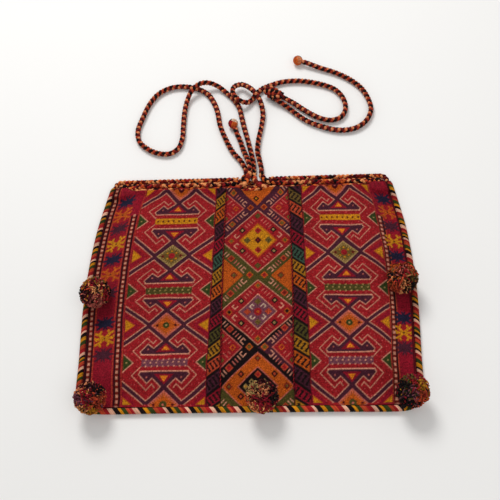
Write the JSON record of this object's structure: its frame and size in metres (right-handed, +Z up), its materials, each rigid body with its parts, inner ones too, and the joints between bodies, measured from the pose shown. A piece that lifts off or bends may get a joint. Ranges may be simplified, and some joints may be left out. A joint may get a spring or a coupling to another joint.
{
  "type": "woven shoulder bag",
  "caption": "Flat woven shoulder bag with a patterned front, twisted edge cord, wool pompoms, and a braided drawcord that forms its mouth closure and long shoulder loop.",
  "frame": {"origin": "On the surface below the bag, at the middle of the bag's own box. The free cords and what is on them are left out.", "axes": "+X runs across the bag to the right as its front is looked at, +Y towards its mouth, +Z up out of its front."},
  "size_m": [0.382, 0.4958, 0.0419],
  "materials": {
    "kilim_cloth": "woven wool, matte",
    "kilim_centre": "woven wool, matte",
    "back_cloth": "plain-woven wool, matte",
    "seam_thread": "twisted wool thread",
    "edge_cord": "twisted wool cord of several colours",
    "rim_braid": "fine wool chain braid",
    "drawcord": "braided wool cord of several colours",
    "knob_yarn": "wrapped wool yarn",
    "pompom_wool": "cut wool pile",
    "tie_yarn": "twisted wool yarn"
  },
  "bodies": {
    "back": {"back_cloth": "back_cloth", "edge_cord": "edge_cord", "back_rim_braid_left": "rim_braid", "back_rim_braid_right": "rim_braid", "drawcord_back_left": "drawcord", "drawcord_back_right": "drawcord"},
    "front": {"front_strip_left": "kilim_cloth", "front_strip_centre": "kilim_centre", "front_strip_right": "kilim_cloth", "front_seam_left": "seam_thread", "front_seam_right": "seam_thread", "front_rim_braid_left": "rim_braid", "front_rim_braid_right": "rim_braid", "drawcord_front_left": "drawcord", "drawcord_front_right": "drawcord"},
    "strap": {"strap_loop_cord": "drawcord", "tie_cord": "drawcord", "tail_cord": "drawcord", "short_cord": "drawcord", "slip_knot": "drawcord", "tail_end_knob": "knob_yarn", "short_end_knob": "knob_yarn"},
    "left_side_pompom": {"pompom_left_side": "pompom_wool", "pompom_tie_left_side": "tie_yarn"},
    "right_side_pompom": {"pompom_right_side": "pompom_wool", "pompom_tie_right_side": "tie_yarn"},
    "left_corner_pompom": {"pompom_left_corner": "pompom_wool", "pompom_tie_left_corner": "tie_yarn"},
    "bottom_middle_pompom": {"pompom_bottom_middle": "pompom_wool", "pompom_tie_bottom_middle": "tie_yarn"},
    "right_corner_pompom": {"pompom_right_corner": "pompom_wool", "pompom_tie_right_corner": "tie_yarn"}
  },
  "joints": [
    {"name": "mouth_opening", "type": "hinge", "parent": "back", "child": "front", "pos_m": [0, -0.1403, 0.00235], "axis": [1, 0, 0], "range_deg": [0, 8]},
    {"name": "strap_swing", "type": "hinge", "parent": "back", "child": "strap", "pos_m": [0, 0.1558, 0.0155], "axis": [1, 0, 0], "range_deg": [0, 90]},
    {"name": "left_side_pompom_tip", "type": "hinge", "parent": "front", "child": "left_side_pompom", "pos_m": [-0.1823, -0.0135, 0.0073], "axis": [0, -1, 0], "range_deg": [0, 65]},
    {"name": "right_side_pompom_tip", "type": "hinge", "parent": "front", "child": "right_side_pompom", "pos_m": [0.1821, -0.0033, 0.0073], "axis": [0, 1, 0], "range_deg": [0, 65]},
    {"name": "left_corner_pompom_tip", "type": "hinge", "parent": "back", "child": "left_corner_pompom", "pos_m": [-0.1646, -0.1465, 0.0073], "axis": [1, 0, 0], "range_deg": [0, 80]},
    {"name": "bottom_middle_pompom_tip", "type": "hinge", "parent": "back", "child": "bottom_middle_pompom", "pos_m": [0.0168, -0.1465, 0.0073], "axis": [1, 0, 0], "range_deg": [0, 80]},
    {"name": "right_corner_pompom_tip", "type": "hinge", "parent": "back", "child": "right_corner_pompom", "pos_m": [0.1646, -0.1465, 0.0073], "axis": [1, 0, 0], "range_deg": [0, 80]}
  ]
}
